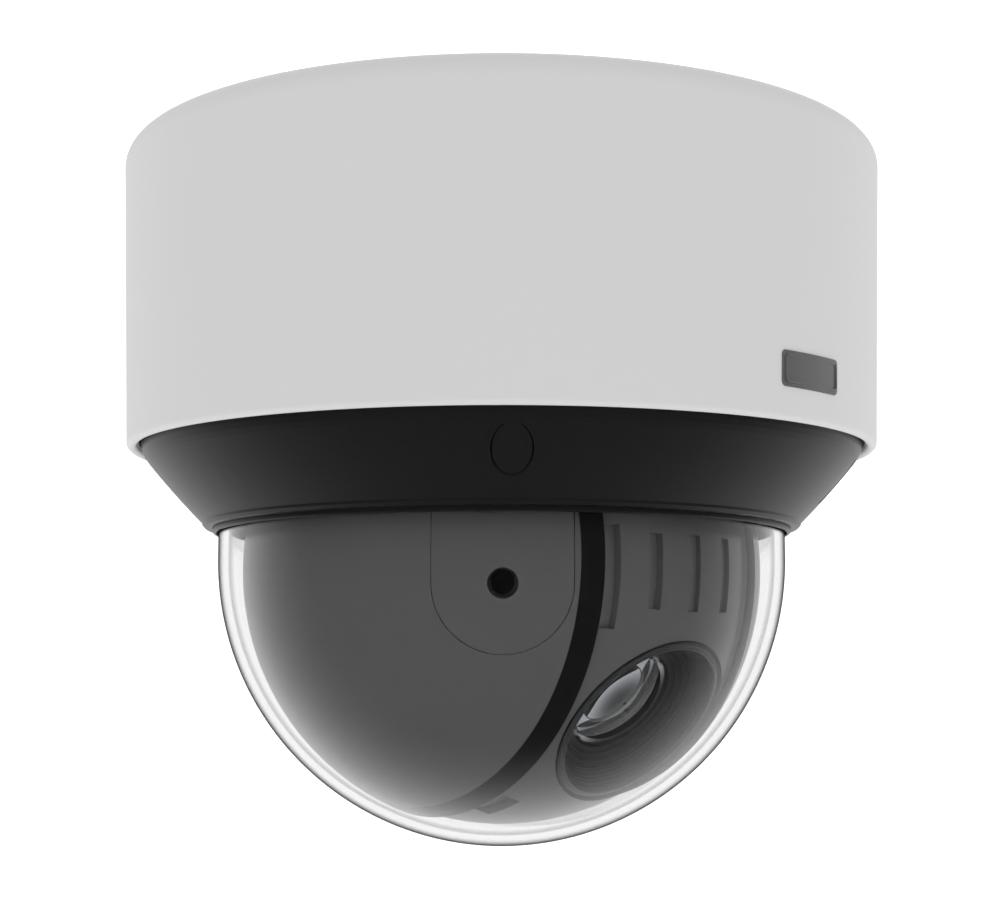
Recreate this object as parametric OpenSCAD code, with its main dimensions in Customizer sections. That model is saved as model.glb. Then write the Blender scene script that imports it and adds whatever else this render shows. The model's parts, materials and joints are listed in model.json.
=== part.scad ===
// Pan-tilt-zoom dome camera for a ceiling.
// Origin: centre of the ceiling mounting face. +Z is up, and the camera hangs in -Z.
// Angles round the housing are counted from the front, -Y, towards +X.

/* [Overall] */
// Radius of the tilting ball
ball_r = 55; // [54:0.5:68]
// Half the width of the tilting slice of the ball
slice_half = 22.5; // [22:0.5:28]
// Height of the white housing drum
housing_h = 67; // [66:1:90]
// Height of the black collar that shows below the housing
collar_h = 16.9; // [16.4:0.1:24]
// How far the housing's bottom rim stands out past the dome
collar_reach = 20; // [19:0.5:26]

/* [Housing] */
// Wall of the housing drum
housing_wall = 2.5; // [2:0.1:3]
// Thickness of the housing's roof under the ceiling plate
roof_t = 3.2; // [2.5:0.1:5]
// Growth of the drum's radius per millimetre of height
housing_draft = 0.0235; // [0:0.0005:0.03]
// Radius of the drum's rounded top edge
top_fillet = 5.4; // [3:0.1:6]
// Rounding of the drum's bottom rim
rim_round = 1.2; // [0.6:0.1:1.2]

/* [Ceiling fixing] */
// Radius of the ceiling plate
plate_r = 64; // [60:1:66]
// Thickness of the ceiling plate
plate_t = 2; // [1.5:0.1:2.5]
// Circle of the ceiling screw holes
plate_pcd = 110; // [100:1:114]
// Radius of a ceiling screw hole
plate_hole_r = 2.75; // [2:0.05:3.5]
// Radius of the cable hole in the plate
cable_hole_r = 17.5; // [17:0.5:20]
// Radius of the bore through the cable grommet
cable_r = 4; // [2.5:0.1:6]
// Circle radius of the hook studs
stud_circle_r = 38; // [34:1:44]

/* [Dome] */
// Wall of the clear dome
dome_wall = 2.2; // [1.8:0.1:3.2]
// Radial room between the side shells and the dome
dome_gap = 3.2; // [2.8:0.1:6]
// Straight part of the dome that shows below the collar
dome_skirt = 6.3; // [5:0.1:9]
// Height of the dome's centre above the tilt axis
dome_lift = 2.3; // [1.5:0.1:2.8]
// Thickness of the flat seal on the dome's flange
seal_t = 1; // [0.8:0.1:1.5]

/* [Pan and tilt] */
// Pan angle at rest
pan_rest = 44.6; // [0:0.1:360]
// Angle of the lens below the horizon at rest
tilt_rest = 39; // [0:0.5:90]
// Teeth on the pan gear
pan_teeth = 72; // [66:6:78]
// Module of the pan gear pair
pan_module = 1.25; // [1.2:0.05:1.3]
// Teeth on the tilt gear
tilt_teeth = 45; // [42:3:48]
// Module of the tilt gear pair
tilt_module = 0.6; // [0.55:0.05:0.65]
// Radius of the trunnions that carry the ball
trunnion_r = 6; // [5:0.5:6.5]
// Width of the black cheek beside the ball
cheek_w = 4.4; // [4:0.1:6]
// How far the side shells stand above the ball
shell_step = 1.6; // [1.2:0.1:2.5]

/* [Lens] */
// Outer radius of the lens bezel
bezel_r = 20.5; // [19:0.1:21]
// Height of the bezel's rim above the tilt axis, along the lens
bezel_s = 51.5; // [51:0.1:53]
// Radius of the front glass
glass_r = 12; // [11:0.1:13]
// Depth of the front glass's edge below the bezel's rim
glass_depth = 6.5; // [5:0.1:8]
// Outer half-width of the square zoom block
block_half = 18.5; // [18.5:0.1:19]

/* [Fasteners] */
// Radius of an M4 screw
m4_r = 2; // [2:0.5:2.5]
// Radius of an M3 screw
m3_r = 1.5; // [1.5:0.25:1.75]
// Radius of a small case screw
m2_r = 1.2; // [1:0.1:1.25]
// Radius of the plugs in the collar
plug_r = 4.05; // [3.8:0.05:4.5]

/* [Hidden] */
$fn = 96;
fit = 0.05;          // radial clearance of a screw or shaft in its hole
tooth_play = 0.2;    // backlash taken off each gear tooth
gap = 0.3;           // room between pieces that don't touch
far = 400;           // longer than anything in the model

// the stack of heights, from the ceiling down
roof_z = -plate_t - roof_t;
shell_wall = 2;
ball_wall = 2.5;
ball_side = 2;
ball_top_room = 1.5;
bridge_t = 3;
hub_h = 8;
hub_room = 1;
chassis_t = 2;
// the drum is never lower than the drive and the boards in it need
deck_room = 16.7;
drive_h = ball_r + ball_top_room + bridge_t + hub_h + hub_room + chassis_t;
drum_h = max(housing_h, drive_h + deck_room - roof_z - collar_h - dome_skirt - dome_lift);
rim_z = -drum_h;
collar_z = rim_z - collar_h;
dome_z = collar_z - dome_skirt;
ball_z = dome_z - dome_lift;
bridge_z = ball_z + ball_r + ball_top_room;
hub_z = bridge_z + bridge_t;
chassis_z = hub_z + hub_h + hub_room;
deck_z = chassis_z + chassis_t;
standoff_h = 2;
board_t = 1.6;
board_z = deck_z + standoff_h;
top_z = board_z + board_t;

// radii, from the ball outwards
// the side shells keep room for the yoke and the tilt motor beside a wide slice
side_room = 32.5;
shell_r = max(ball_r, slice_half + side_room) + shell_step;
dome_in_r = shell_r + dome_gap;
dome_r = dome_in_r + dome_wall;
housing_r = dome_r + collar_reach;
housing_top_r = housing_r + housing_draft * drum_h;
function drum_r(z) = housing_r + housing_draft * (z - rim_z);

// collar: a cone with a slight belly, under a rounded shoulder
cone_top = [housing_r - 4.6, rim_z - 2.5];
cone_bottom = [dome_r + 3.6, collar_z + 1.3];
cone_belly = 0.3;
collar_wall = 2.8;
function cone_r(z) = let (t = (z - cone_bottom[1]) / (cone_top[1] - cone_bottom[1]))
    cone_bottom[0] + (cone_top[0] - cone_bottom[0]) * t + 4 * cone_belly * t * (1 - t);
collar_flange_r = housing_r - housing_wall - 0.6;
collar_top_z = rim_z + 4;
collar_web_z = collar_top_z - 3;
collar_bore_r = dome_r + 0.5;
seat_z = collar_z + 5.8;
seat_r = cone_r(seat_z) - collar_wall;
dome_flange_t = 2;
dome_flange_r = seat_r - gap;
clamp_z = seat_z + dome_flange_t + seal_t;
clamp_top_z = clamp_z + 7;
clamp_ear_t = 2;
clamp_r = dome_flange_r;
clamp_hole_circle = seat_r + 3;
clamp_angles = [40, 130, 220, 310];
plug_circle = housing_r - 8.7;
plug_angles = [1.5, 80, 181.5, 260];
plug_recess = 0.15;
plug_gap = 0.25;
plug_grip = 1;
plug_top_z = collar_web_z - 3;
seal_groove = [collar_flange_r - 2.1, collar_flange_r - 0.5];
housing_seal_t = 1.5;

// pan drive
pinion_teeth = 12;
pan_gear_r = pan_module * pan_teeth / 2;
pan_centre = pan_module * (pan_teeth + pinion_teeth) / 2;
pan_motor_angle = 180;
pan_motor_r = 17.5;
pan_motor_h = 13.5;
motor_ear = 21;
motor_shaft_r = 1.5;
spindle_r = 17.5;
spindle_bore_r = 13.5;
race_t = 2.1;
race_room = 1.8;
hub_bore_r = spindle_r + 2 * race_t + race_room;
hub_r = hub_bore_r + 4.5;
bearing_w = 7;
bearing_z = chassis_z - 0.2 - bearing_w;
bearing_ball_r = 1.75;
bearing_circle = spindle_r + race_t + race_room / 2;
bearing_balls = 18;
hub_flange_r = 34;
pan_gear_z = hub_z + 2.5;
pan_gear_t = 4;
slip_r = 11;
slip_bore_r = 8;

// tilt drive, on the local X axis of the ball
cheek_in = slice_half + 0.5;
cheek_out = cheek_in + cheek_w;
tilt_gear_x = cheek_out + 0.6;
tilt_gear_t = 3;
arm_in = tilt_gear_x + tilt_gear_t + 0.8;
arm_t = 3.5;
arm_out = arm_in + arm_t;
arm_half_top = 18;
arm_half = 13;
shell_cut = 36;
tilt_centre = tilt_module * (tilt_teeth + pinion_teeth) / 2;
tilt_motor_r = 10;
tilt_motor_l = 11.2;
tilt_shaft_r = 1;
bush_r = trunnion_r + 2;
bush_flange_t = 1;
post_y = 14;
post_z = 25;
post_r = 3;

// the hatch in the left side shell
hatch_drop = 5.8;
hatch_half = 13.7;
hatch_up = 24;
hatch_room = 0.15;
// the hatch is turned as far to the front as leaves this much of the shell beside the cheek
hatch_margin = 1.1;
hatch_turn = acos((cheek_out + hatch_margin) / shell_r) - asin((hatch_half + hatch_room) / shell_r);
hatch_hole_r = 3;
hatch_bar_s = shell_r - 8.6;

// zoom block, along the lens axis from the tilt axis
block_back = -26;
block_front = 30;
block_wall = 1.5;
barrel_r = block_half - 0.5;
barrel_front = bezel_s - glass_depth - 1;
block_in = block_half - block_wall;
rod_at = block_in - 4;
rod_r = 1;
lead_r = 1.2;
cradle_play = 0.2;
cradle_t = slice_half - ball_side - block_half - cradle_play;
cradle_back = 38;
cradle_half = 12;

// ---------- helpers ----------

// a tube between two heights
module tube(ro, ri, z0, z1) {
    translate([0, 0, z0]) difference() {
        cylinder(r = ro, h = z1 - z0);
        translate([0, 0, -1]) cylinder(r = ri, h = z1 - z0 + 2);
    }
}

// a rod between two heights
module rod(r, z0, z1) { translate([0, 0, z0]) cylinder(r = r, h = z1 - z0); }

// a box by its middle in X and Y and its two heights
module slab(x, y, z0, z1) { translate([-x / 2, -y / 2, z0]) cube([x, y, z1 - z0]); }

// children copied to each angle on a circle, counted from the front
module round_the_front(r, angles) { for (a = angles) rotate([0, 0, a]) translate([0, -r, 0]) children(); }

// a rectangle with round corners, grown all round by room
module rounded_square(size, r, room) union() {
    square([size[0] + 2 * room, size[1] - 2 * r], center = true);
    square([size[0] - 2 * r, size[1] + 2 * room], center = true);
    for (x = [-1, 1], y = [-1, 1])
        translate([x * (size[0] / 2 - r), y * (size[1] / 2 - r)]) circle(r = r + room);
}

// a screw whose head sits below z, with the shank going up
module screw_up(r, head_r, head_h, z, len) { rod(head_r, z - head_h, z); rod(r, z - 0.01, z + len); }

// a screw whose head sits above z, with the shank going down
module screw_down(r, head_r, head_h, z, len) { rod(head_r, z, z + head_h); rod(r, z - len, z + 0.01); }

// frames: the panning yoke, the ball's centre, the tilted ball and the lens axis
module in_pan() { rotate([0, 0, pan_rest]) children(); }
module in_ball() { in_pan() translate([0, 0, ball_z]) children(); }
module in_tilt() { in_ball() rotate([tilt_rest, 0, 0]) children(); }
module on_lens() { in_tilt() rotate([90, 0, 0]) children(); }
module at_tilt_motor() { in_ball() translate([0, 0, tilt_centre]) children(); }
module at_pan_motor() { rotate([0, 0, pan_motor_angle]) translate([0, -pan_centre, 0]) children(); }
module on_axis(x) { rotate([0, 90, 0]) translate([0, 0, x]) children(); }

// spur gear outline with involute flanks; tooth 0 points along +X
function flank_angle(rb, r) = let (u = sqrt(max(0, pow(r / rb, 2) - 1))) u * 180 / PI - atan(u);
module gear_outline(teeth, m) {
    rp = m * teeth / 2;
    rb = rp * cos(20);
    rf = rp - 1.15 * m;
    ra = rp + 0.8 * m;
    half = 90 / teeth - tooth_play * 90 / (PI * rp) + flank_angle(rb, rp);
    polygon([for (i = [0 : teeth - 1], p = [[rf, -1], [rp, -1], [ra, -1], [ra, 1], [rp, 1], [rf, 1]])
        let (a = 360 * i / teeth + p[1] * (half - flank_angle(rb, p[0]))) [p[0] * cos(a), p[0] * sin(a)]]);
}

// ---------- ceiling plate and housing ----------

ceiling_screw_angles = [45 : 90 : 315];
module ceiling_plate() color("silver") difference() {
    rod(plate_r, -plate_t, 0);
    rod(cable_hole_r, -far, far);
    round_the_front(plate_pcd / 2, ceiling_screw_angles) rod(plate_hole_r, -far, far);
    round_the_front(stud_circle_r, stud_angles) rod(stud_r, -far, far);
}

stud_angles = [60, 180, 300];
stud_r = 2;
stud_head_r = 4;
keyhole_r = 4.6;
screw_access_r = 6;
keyhole_turn = 16;
module hook_studs() color("gray") round_the_front(stud_circle_r, stud_angles) {
    rod(stud_r, roof_z - 0.1, 0);
    rod(stud_head_r, roof_z - 2, roof_z - 0.1);
}

gasket_r = [housing_top_r - 12.5, housing_top_r - 8.5];
gasket_t = 1.5;
module ceiling_gasket() color("dimgray") tube(gasket_r[1], gasket_r[0], -gasket_t, 0);

// drum outline, rim and top edge rounded, with the recess for the plate
module drum_profile() {
    inner = housing_wall;
    polygon(concat(
        [for (a = [180 : 15 : 360])
            [housing_r - rim_round + rim_round * cos(a), rim_z + rim_round + rim_round * sin(a)]],
        [for (a = [0 : 7.5 : 90])
            [drum_r(-top_fillet) - top_fillet + top_fillet * cos(a), -top_fillet + top_fillet * sin(a)]],
        [[plate_r + gap, 0], [plate_r + gap, -plate_t],
         [grommet_hole_r, -plate_t], [grommet_hole_r, roof_z],
         [drum_r(roof_z) - inner - 3, roof_z], [drum_r(roof_z - 3) - inner, roof_z - 3],
         [housing_r - inner, rim_z + rim_round]]));
}

post_circle = housing_top_r - 13.6;
post_angles = [45, 135, 225, 315];
grommet_hole_r = 14;
module housing() color("gainsboro") difference() {
    union() {
        rotate_extrude() drum_profile();
        // posts that carry the chassis plate
        round_the_front(post_circle, post_angles) rod(4.5, deck_z, roof_z + 0.1);
        // bosses for the collar screws, each with a web to the wall
        intersection() {
            round_the_front(plug_circle, plug_angles) {
                rod(4, collar_top_z, collar_top_z + 14);
                translate([-1.5, -15, collar_top_z]) cube([3, 15, 14]);
            }
            rod(housing_r - housing_wall + 0.5, rim_z, 0);
        }
        // shelf that the seal is pressed against
        tube(housing_r - housing_wall + 0.5, seal_groove[0] - 0.3, collar_top_z + housing_seal_t,
            collar_top_z + housing_seal_t + 3);
    }
    tube(gasket_r[1] + fit, gasket_r[0] - fit, -gasket_t, 1);
    tube(seal_groove[1] + fit, seal_groove[0] - fit, rim_z, collar_top_z + housing_seal_t);
    // openings over the heads of the ceiling screws
    round_the_front(plate_pcd / 2, ceiling_screw_angles) rod(screw_access_r, roof_z - 1, 1);
    // keyholes: a curved slot from each stud to a round entry
    for (a = stud_angles) rotate([0, 0, a - 90]) {
        rotate_extrude(angle = keyhole_turn) translate([stud_circle_r - stud_r - gap, roof_z - 1])
            square([2 * (stud_r + gap), roof_t + 2]);
        translate([stud_circle_r, 0, 0]) rod(stud_r + gap, roof_z - 1, 1);
        rotate([0, 0, keyhole_turn]) translate([stud_circle_r, 0, 0]) rod(keyhole_r, roof_z - 1, 1);
    }
    round_the_front(post_circle, post_angles) rod(m3_r + fit, deck_z - 1, deck_z + 9);
    round_the_front(plug_circle, plug_angles) rod(m4_r + fit, collar_top_z - 1, collar_top_z + 12);
    badge_solid(fit);
}

// rubber grommet: one ring clamped round the roof hole, with the cable bore
module cable_grommet() color("black") difference() {
    union() {
        rod(grommet_hole_r + 2, -plate_t, -plate_t + 1);
        rod(grommet_hole_r, roof_z, -plate_t);
        rod(grommet_hole_r + 2, roof_z - 1.4, roof_z);
    }
    rod(cable_r, -far, far);
}

badge_angle = 47.6;
badge_z = rim_z + 10;
badge_size = [18.8, 7];
badge_round = 1;
badge_depth = 0.5;
badge_proud = 0.25;
module drum_cone(z0, z1, out) translate([0, 0, z0])
    cylinder(r1 = drum_r(z0) + out, r2 = drum_r(z1) + out, h = z1 - z0);
// a rounded plate that follows the drum's wall
module badge_solid(room) {
    intersection() {
        rotate([0, 0, badge_angle]) translate([0, 0, badge_z]) rotate([90, 0, 0])
            linear_extrude(height = far) rounded_square(badge_size, badge_round, room);
        difference() {
            drum_cone(badge_z - 8, badge_z + 8, badge_proud);
            drum_cone(badge_z - 9, badge_z + 9, -badge_depth);
        }
    }
}
module name_badge() color("gray") badge_solid(0);

// ---------- chassis, boards and sockets ----------

chassis_r = post_circle + 5;
board_r = post_circle - 8;
board_in_r = 22;
board_hole_circle = board_r - 6;
board_holes = [80, 280, 325, 35];
module chassis_plate() color("silver") difference() {
    union() {
        rod(chassis_r, chassis_z, deck_z);
        rod(spindle_r, bearing_z - 0.1, chassis_z + 0.1);
        rod(spindle_r + race_t - 0.4, bearing_z + bearing_w, chassis_z + 0.1);
        round_the_front(board_hole_circle, board_holes) rod(3, deck_z - 0.1, board_z);
    }
    rod(spindle_bore_r, -far, far);
    round_the_front(post_circle, post_angles) rod(m3_r + fit, -far, far);
    round_the_front(board_hole_circle, board_holes) rod(m2_r + fit, -far, far);
    at_pan_motor() {
        rod(5, -far, far);
        for (x = [-motor_ear, motor_ear]) translate([x, 0, 0]) rod(m3_r + fit, -far, far);
    }
}

module chassis_screws() color("silver") {
    round_the_front(post_circle, post_angles) screw_up(m3_r, 2.75, 2, chassis_z, 9);
    at_pan_motor() for (x = [-motor_ear, motor_ear])
        translate([x, 0, 0]) screw_down(m3_r, 2.75, 2, deck_z + motor_ear_t, 3.5);
}

button_at = [22, -38];
module main_board() color("darkgreen") union() {
    difference() {
        rod(board_r, board_z, top_z);
        rod(board_in_r, -far, far);
        at_pan_motor() rod(motor_ear + 5, -far, far);
        round_the_front(board_hole_circle, board_holes) rod(m2_r + fit, -far, far);
    }
    // body of the reset switch
    translate(button_at) difference() {
        slab(6, 6, top_z, top_z + 3.5);
        rod(button_r + fit, top_z + 1.5, far);
    }
}
module board_screws() color("silver") round_the_front(board_hole_circle, board_holes)
    screw_down(m2_r, 2.2, 1.5, top_z, 5);

button_r = 1.7;
button_travel = 0.5;
module reset_button() color("black") translate(button_at)
    rod(button_r, top_z + 1.5 + button_travel, top_z + 5);

socket_h = 12.2;
module network_socket() color("silver") translate([-39, 0, 0]) difference() {
    slab(18, 16, top_z, top_z + socket_h);
    translate([3.2, 0, 0]) slab(13, 12, top_z + 2, top_z + 10.4);
}

module terminal_block() color("green") translate([41, 2, 0]) difference() {
    slab(9, 16, top_z, top_z + 9);
    for (y = [-5.2, 0, 5.2]) translate([0, y, 0]) {
        translate([0, 0, top_z + 3.5]) rotate([0, -90, 0]) cylinder(r = 1.6, h = far);
        rod(1.5, top_z + 7, far);
    }
}

card_size = [11, 15, 1];
module memory_card_socket() color("silver") translate([-18, -44, 0]) difference() {
    slab(card_size[0] + 3, card_size[1] - 1, top_z, top_z + 2);
    translate([0, -2, 0])
        slab(card_size[0] + 0.2, card_size[1] + 2, top_z + 0.4, top_z + 0.6 + card_size[2]);
}
module memory_card() color("black") translate([-18, -45.9, 0])
    slab(card_size[0], card_size[1], top_z + 0.5, top_z + 0.5 + card_size[2]);

sink_w = 20;
fin_count = 7;
fin_t = 1.2;
fin_pitch = (sink_w - 2) / (fin_count - 1);
module heat_sink() color("black") translate([0, -37, 0]) {
    slab(sink_w, sink_w, top_z, top_z + 2);
    for (i = [0 : fin_count - 1])
        translate([1 - sink_w / 2 + fin_pitch * i, 0, 0]) slab(fin_t, sink_w, top_z + 1.9, top_z + 8);
}

motor_ear_t = 1;
module pan_motor() color("dimgray") at_pan_motor() difference() {
    union() {
        rod(pan_motor_r, deck_z, deck_z + pan_motor_h);
        for (x = [-motor_ear, motor_ear]) translate([x, 0, 0]) rod(4, deck_z, deck_z + motor_ear_t);
        slab(2 * motor_ear, 8, deck_z, deck_z + motor_ear_t);
    }
    rod(motor_shaft_r + fit, deck_z - 1, deck_z + 10);
    for (x = [-motor_ear, motor_ear]) translate([x, 0, 0]) rod(m3_r + fit, -far, far);
}

module pan_pinion() color("goldenrod") at_pan_motor() {
    translate([0, 0, pan_gear_z - 0.5]) rotate([0, 0, 90 + 180 / pinion_teeth])
        linear_extrude(height = pan_gear_t + 1) gear_outline(pinion_teeth, pan_module);
    rod(motor_shaft_r, pan_gear_z, deck_z + 9.5);
}

module pan_bearing_inner() color("silver") race(spindle_r, spindle_r + race_t);
module pan_bearing_outer() color("silver") race(hub_bore_r - race_t, hub_bore_r);
// one race of the pan bearing, with the ball track turned into it
module race(ri, ro) difference() {
    tube(ro, ri, bearing_z, bearing_z + bearing_w);
    translate([0, 0, bearing_z + bearing_w / 2]) rotate_extrude()
        translate([bearing_circle, 0]) circle(r = bearing_ball_r + fit);
}
module pan_bearing_balls() color("lightgray") translate([0, 0, bearing_z + bearing_w / 2]) {
    for (i = [0 : bearing_balls - 1]) rotate([0, 0, 360 * i / bearing_balls])
        translate([bearing_circle, 0, 0]) sphere(r = bearing_ball_r, $fn = 24);
    difference() {
        tube(bearing_circle + 0.5, bearing_circle - 0.5, -2.6, 2.6);
        for (i = [0 : bearing_balls - 1]) rotate([0, 0, 360 * i / bearing_balls]) rotate([0, 90, 0])
            rod(bearing_ball_r + 2 * fit, bearing_circle - 2, bearing_circle + 2);
    }
}

module slip_ring_stator() color("black") difference() {
    union() {
        rod(slip_r, hub_z + 2.2, deck_z + 10);
        rod(spindle_bore_r + 5, deck_z, deck_z + 1.5);
    }
    rod(slip_bore_r, -far, deck_z + 7);
}
module slip_ring_rotor() color("dimgray") difference() {
    union() {
        rod(slip_bore_r - gap, bridge_z, deck_z + 6);
        rod(slip_r, hub_z, hub_z + 1.7);
    }
    rod(3, -far, hub_z + 9);
}

// ---------- collar and dome ----------

cone_steps = 8;
cone_points = [for (i = [0 : cone_steps])
    let (z = cone_top[1] + (cone_bottom[1] - cone_top[1]) * i / cone_steps) [cone_r(z), z]];
shoulder = [[collar_flange_r, collar_top_z], [collar_flange_r, rim_z + 0.8],
    [collar_flange_r - 0.25, rim_z - 0.4], [collar_flange_r - 0.8, rim_z - 1.5]];
foot = [[dome_r + 3.5, collar_z + 0.8], [dome_r + 2.9, collar_z + 0.2], [dome_r + 2.2, collar_z]];
lip = [[dome_r + 1.3, collar_z], [dome_r + 1.3, collar_z - 0.7], [dome_r + 1, collar_z - 1]];
lip_z = collar_z - 1;

// everything inside the collar's outer skin
module collar_envelope() rotate_extrude()
    polygon(concat([[0, collar_top_z]], shoulder, cone_points, foot, [[0, collar_z]]));

module collar() color([0.13, 0.13, 0.13]) difference() {
    union() {
        rotate_extrude() polygon(concat(shoulder, cone_points, foot, lip,
            [[collar_bore_r, lip_z], [collar_bore_r, seat_z], [seat_r, seat_z]],
            [for (z = [seat_z + 3 : 3 : collar_web_z - 4]) [cone_r(z) - collar_wall, z]],
            [[cone_top[0] - collar_wall, collar_web_z - 0.5]],
            [[collar_flange_r - 8.5, collar_web_z], [collar_flange_r - 8.5, collar_top_z]]));
        intersection() {
            union() {
                round_the_front(plug_circle, plug_angles) rod(plug_r + 1.6, collar_z, collar_top_z);
                round_the_front(clamp_hole_circle, clamp_angles) rod(3, collar_z, clamp_ear_z);
            }
            difference() {
                collar_envelope();
                rod(seat_r, seat_z, far);
                rod(collar_bore_r, -far, far);
            }
        }
    }
    round_the_front(plug_circle, plug_angles) {
        rod(plug_r + fit, -far, collar_web_z);
        rod(m4_r + 2 * fit, -far, far);
    }
    round_the_front(clamp_hole_circle, clamp_angles) rod(m2_r + fit, clamp_ear_z - 5.5, far);
}

module collar_screws() color("silver") round_the_front(plug_circle, plug_angles)
    screw_up(m4_r, 3.5, 2.4, collar_web_z, 12);

module collar_plugs() color("black") intersection() {
    // only the top ring of each plug grips its hole, so a gap shows round it from below
    round_the_front(plug_circle, plug_angles) {
        rod(plug_r - plug_gap, collar_z, plug_top_z);
        rod(plug_r, plug_top_z - plug_grip, plug_top_z);
    }
    translate([0, 0, plug_recess]) collar_envelope();
}

module housing_seal() color("dimgray")
    tube(seal_groove[1], seal_groove[0], collar_top_z, collar_top_z + housing_seal_t);

module dome() color([0.75, 0.8, 0.85, 0.35]) translate([0, 0, dome_z]) rotate_extrude() difference() {
    union() {
        intersection() {
            circle(r = dome_r);
            translate([0, -far]) square([far, far]);
        }
        square([dome_r, seat_z + dome_flange_t - dome_z]);
        translate([0, seat_z - dome_z]) square([dome_flange_r, dome_flange_t]);
    }
    circle(r = dome_in_r);
    square([dome_in_r, far]);
    translate([-far, -far]) square([far, 2 * far]);
}

module dome_seal() color("black") tube(dome_flange_r - 0.3, dome_in_r + 0.8, clamp_z - seal_t, clamp_z);

clamp_ear_z = clamp_top_z - clamp_ear_t;
module dome_clamp_ring() color("gray") difference() {
    union() {
        tube(clamp_r, dome_in_r + 0.4, clamp_z, clamp_z + 2);
        tube(clamp_r, clamp_r - 2, clamp_z, clamp_top_z);
        difference() {
            round_the_front(clamp_hole_circle, clamp_angles) {
                rod(2.8, clamp_ear_z, clamp_top_z);
                translate([-2.8, 0, clamp_ear_z]) cube([5.6, 5, clamp_ear_t]);
            }
            rod(clamp_r - 1, -far, far);
        }
    }
    round_the_front(clamp_hole_circle, clamp_angles) rod(m2_r + fit, -far, far);
}
module clamp_screws() color("silver") round_the_front(clamp_hole_circle, clamp_angles)
    screw_down(m2_r, 2.2, 1.4, clamp_top_z, 6.5);

// ---------- panning yoke ----------

arm_top = hub_z - ball_z;
module arm(side) on_axis(side > 0 ? arm_in : -arm_out) linear_extrude(height = arm_t) difference() {
    union() {
        polygon([[-arm_top, -arm_half_top], [-arm_top, arm_half_top], [-shell_cut, arm_half_top],
            [0, arm_half], [0, -arm_half], [-shell_cut, -arm_half_top]]);
        circle(r = arm_half);
    }
    circle(r = bush_r);
    for (y = [-post_y, post_y]) translate([-post_z, y]) circle(r = m2_r + fit);
    // the motor's shaft passes through the right arm
    if (side > 0) translate([-tilt_centre, 0]) circle(r = tilt_shaft_r + 2);
}

module yoke() color("gray") in_pan() {
    difference() {
        union() {
            slab(2 * arm_out, 2 * arm_half_top, bridge_z, hub_z);
            rod(hub_flange_r, bridge_z, pan_gear_z);
            rod(hub_r, bridge_z, hub_z + hub_h);
        }
        rod(slip_bore_r - gap + fit, -far, far);
        rod(hub_bore_r - race_t + 0.5, hub_z, far);
        rod(hub_bore_r, bearing_z, far);
    }
    translate([0, 0, ball_z]) for (side = [-1, 1]) arm(side);
}

pan_gear_hole_r = 4;
module pan_gear() color("ivory") difference() {
    translate([0, 0, pan_gear_z]) rotate([0, 0, pan_motor_angle - 90])
        linear_extrude(height = pan_gear_t) gear_outline(pan_teeth, pan_module);
    rod(hub_r, -far, far);
    round_the_front((hub_r + pan_gear_r) / 2, [0 : 60 : 300]) rod(pan_gear_hole_r, -far, far);
}

// turned round the tilt axis, on one side of the ball: the outline is (radius, distance along the axis)
module turned(side) rotate([0, side * 90, 0]) rotate_extrude() children();
// the part of a disc that lies between two distances along the tilt axis
module zone(r, x0, x1) intersection() {
    circle(r = r);
    translate([0, x0]) square([far, x1 - x0]);
}
module side_shell(side) difference() {
    turned(side) difference() {
        zone(shell_r, cheek_out, far);
        circle(r = shell_r - shell_wall);
    }
    slab(far, far, shell_cut, far);
}
module on_hatch() rotate([0, 0, hatch_turn]) rotate([0, -hatch_drop, 0]) rotate([0, -90, 0]) children();
// U-shaped outline of the hatch: round below the screw, straight sides above
module hatch_outline(room) {
    circle(r = hatch_half + room);
    translate([0, -hatch_half - room]) square([hatch_up + room, 2 * (hatch_half + room)]);
}
module hatch_solid(room) on_hatch() linear_extrude(height = far) hatch_outline(room);

module side_shell_left() color("gray") in_ball() {
    difference() {
        side_shell(-1);
        hatch_solid(hatch_room);
    }
    // bar behind the hatch that takes its screw
    difference() {
        intersection() {
            on_hatch() translate([-30, -4, hatch_bar_s - 3]) cube([60, 8, 3]);
            sphere(r = shell_r - 1);
            translate([-far - cheek_out, -far / 2, -far / 2]) cube(far);
        }
        on_hatch() rod(m2_r + fit, 0, far);
    }
}
module side_shell_right() color("gray") in_ball() side_shell(1);

module side_hatch() color("gray") in_ball() difference() {
    union() {
        intersection() {
            side_shell(-1);
            hatch_solid(0);
        }
        intersection() {
            on_hatch() rod(hatch_hole_r + 1.2, hatch_bar_s, far);
            sphere(r = shell_r);
        }
    }
    on_hatch() rod(hatch_hole_r, hatch_bar_s + 2, far);
    on_hatch() rod(m2_r + fit, 0, far);
}

module shell_screws() color("silver") in_ball() {
    on_hatch() screw_down(m2_r, 2.3, 1.5, hatch_bar_s + 2, 6);
    for (side = [-1, 1], y = [-post_y, post_y]) translate([0, y, post_z]) rotate([0, side * 90, 0])
        screw_down(m2_r, 2.2, 1.4, arm_out, arm_t + 4);
}

// black cheek: a web beside the ball with a rim that carries the side shell
cheek_web = 2;
cheek_rim = 3;
module cheek(side) difference() {
    union() {
        turned(side) difference() {
            zone(shell_r, cheek_in, cheek_out);
            zone(shell_r - cheek_rim, cheek_in + cheek_web, far);
        }
        for (y = [-post_y, post_y]) translate([0, y, post_z]) rotate([0, side * 90, 0])
            rod(post_r, cheek_in + 0.1, arm_in);
    }
    on_axis(-far / 2) cylinder(r = trunnion_r + 1, h = far);
    for (y = [-post_y, post_y]) translate([0, y, post_z]) rotate([0, side * 90, 0])
        rod(m2_r + fit, arm_in - 5, far);
}
module cheek_left() color([0.1, 0.1, 0.1]) in_ball() cheek(-1);
module cheek_right() color([0.1, 0.1, 0.1]) in_ball() cheek(1);

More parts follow.
